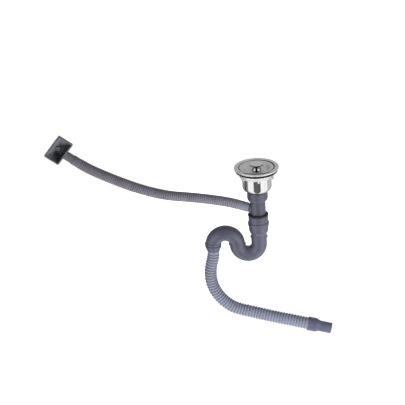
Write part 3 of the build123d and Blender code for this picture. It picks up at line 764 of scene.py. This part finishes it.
def studio_world():
    """White behind the drain; polished steel sees a studio of white screens with dark gaps between."""
    world = bpy.data.worlds.new("studio")
    world.use_nodes = True
    scene.world = world
    graph = Graph(world.node_tree)
    x, y, z = graph.split(graph.add("TexCoord").outputs["Generated"])
    azimuth = graph.math("ARCTAN2", x, graph.product(y, -1.0))
    screens = graph.add("ValToRGB")
    elements = screens.color_ramp.elements
    while len(elements) < len(SCREEN_STOPS):
        elements.new(0.5)
    for element, (degrees, level) in zip(elements, SCREEN_STOPS):
        element.position = degrees / 360 + 0.5
        element.color = (level, level, level, 1.0)
    turn = graph.spread(azimuth, -math.pi, math.pi, 0.0, 1.0, "LINEAR")
    graph.fill(screens.inputs["Fac"], turn)
    overhead = graph.rise(z, *CEILING_START)
    mirrored = graph.blend(overhead, screens.outputs["Color"], CEILING_COLOUR)
    rays = graph.add("LightPath").outputs
    light = graph.blend(rays["Is Glossy Ray"], FILL_COLOUR, mirrored)
    seen = graph.math("MAXIMUM", rays["Is Camera Ray"], rays["Is Transmission Ray"])
    background = world.node_tree.nodes["Background"]
    graph.fill(background.inputs["Color"], graph.blend(seen, light, WHITE))


def lamp(name, place, aim, size, power, mirrored=False):
    """A square soft lamp at place, facing aim; glossy surfaces show it if it is mirrored."""
    data = bpy.data.lights.new(name, "AREA")
    data.shape = "SQUARE"
    data.size = size
    data.energy = power
    light = bpy.data.objects.new(name, data)
    light.location = place
    light.rotation_mode = "QUATERNION"
    light.rotation_quaternion = (Vector(aim) - Vector(place)).to_track_quat("-Z", "Y")
    light.visible_glossy = mirrored
    scene.collection.objects.link(light)


place_camera()

waste_line = route_line("waste_hose", WASTE_ROUTE)
waste = ribbed_hose("ribbed_waste_hose", waste_line, WASTE_DIAMETER, WASTE_ROOT_DIAMETER,
                    WASTE_PITCH, WASTE_CUFFS, WASTE_CUFF_LEVEL, WASTE_SHADE_DRIFT)
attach(waste, "waste_line")
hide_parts("waste_hose")

overflow_line = route_line("overflow_hose", OVERFLOW_ROUTE)
overflow = ribbed_hose("ribbed_overflow_hose", overflow_line, OVERFLOW_DIAMETER, OVERFLOW_ROOT_DIAMETER,
                       OVERFLOW_PITCH, OVERFLOW_CUFFS, OVERFLOW_CUFF_LEVEL, OVERFLOW_SHADE_DRIFT)
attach(overflow, "tailpiece")
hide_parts("overflow_hose")

paint(drawn_steel(), "strainer_bowl", "strainer_basket")
paint(brushed_steel("brushed_lid", LID_COLOUR, LID_ROUGHNESS, shaded=True), "lid")
paint(turned_knob(), "lid_knob")
paint(brushed_steel("plated_screw", SCREW_COLOUR, SCREW_ROUGHNESS), "knob_screw")
paint(rubber("black_rubber", *BLACK_RUBBER), "flange_gasket", "union_seal", "outlet_seal")
paint(rubber("dark_rubber", *DARK_RUBBER), "slip_seal")
paint(rubber("grey_rubber", *GREY_RUBBER), "overflow_gasket")
paint(moulded_plastic("white_plastic", NUT_COLOUR, NUT_ROUGHNESS, subsurface=NUT_SUBSURFACE, shade=shade_ends),
      "lock_nut")
paint(moulded_plastic("ring_plastic", FRICTION_RING_COLOUR, FRICTION_RING_ROUGHNESS, shade=shade_ends),
      "friction_ring")
paint(moulded_plastic("grey_plastic", GREY_COLOUR, GREY_ROUGHNESS, parting=True),
      "slip_nut", "trap_bend", "outlet_nut")
paint(moulded_plastic("shaded_tail_plastic", TAIL_SHADE_COLOUR, GREY_ROUGHNESS, parting=True), "union_nut", "tailpiece")
paint(moulded_plastic("adaptor_plastic", ADAPTOR_COLOUR, SATIN_ROUGHNESS), "end_adaptor")
paint(moulded_plastic("head_plastic", HEAD_COLOUR, SATIN_ROUGHNESS, shade=hopper_shade), "overflow_head")
paint(plated_brass(), "cover_screw_insert")
waste.data.materials.append(hose_plastic("waste_hose_plastic", *WASTE_COLOURS))
overflow.data.materials.append(hose_plastic("overflow_hose_plastic", *OVERFLOW_COLOURS))

studio_world()
lay_floor()
lamp("front_left_lamp", LEFT_LAMP, SOFT_AIM, SOFT_SIZE, LEFT_POWER)
lamp("front_right_lamp", RIGHT_LAMP, SOFT_AIM, SOFT_SIZE, RIGHT_POWER)
lamp("left_glow_lamp", LEFT_GLOW_LAMP, GLOW_AIM, GLOW_SIZE, LEFT_GLOW_POWER, mirrored=True)
lamp("right_glow_lamp", RIGHT_GLOW_LAMP, GLOW_AIM, GLOW_SIZE, RIGHT_GLOW_POWER, mirrored=True)
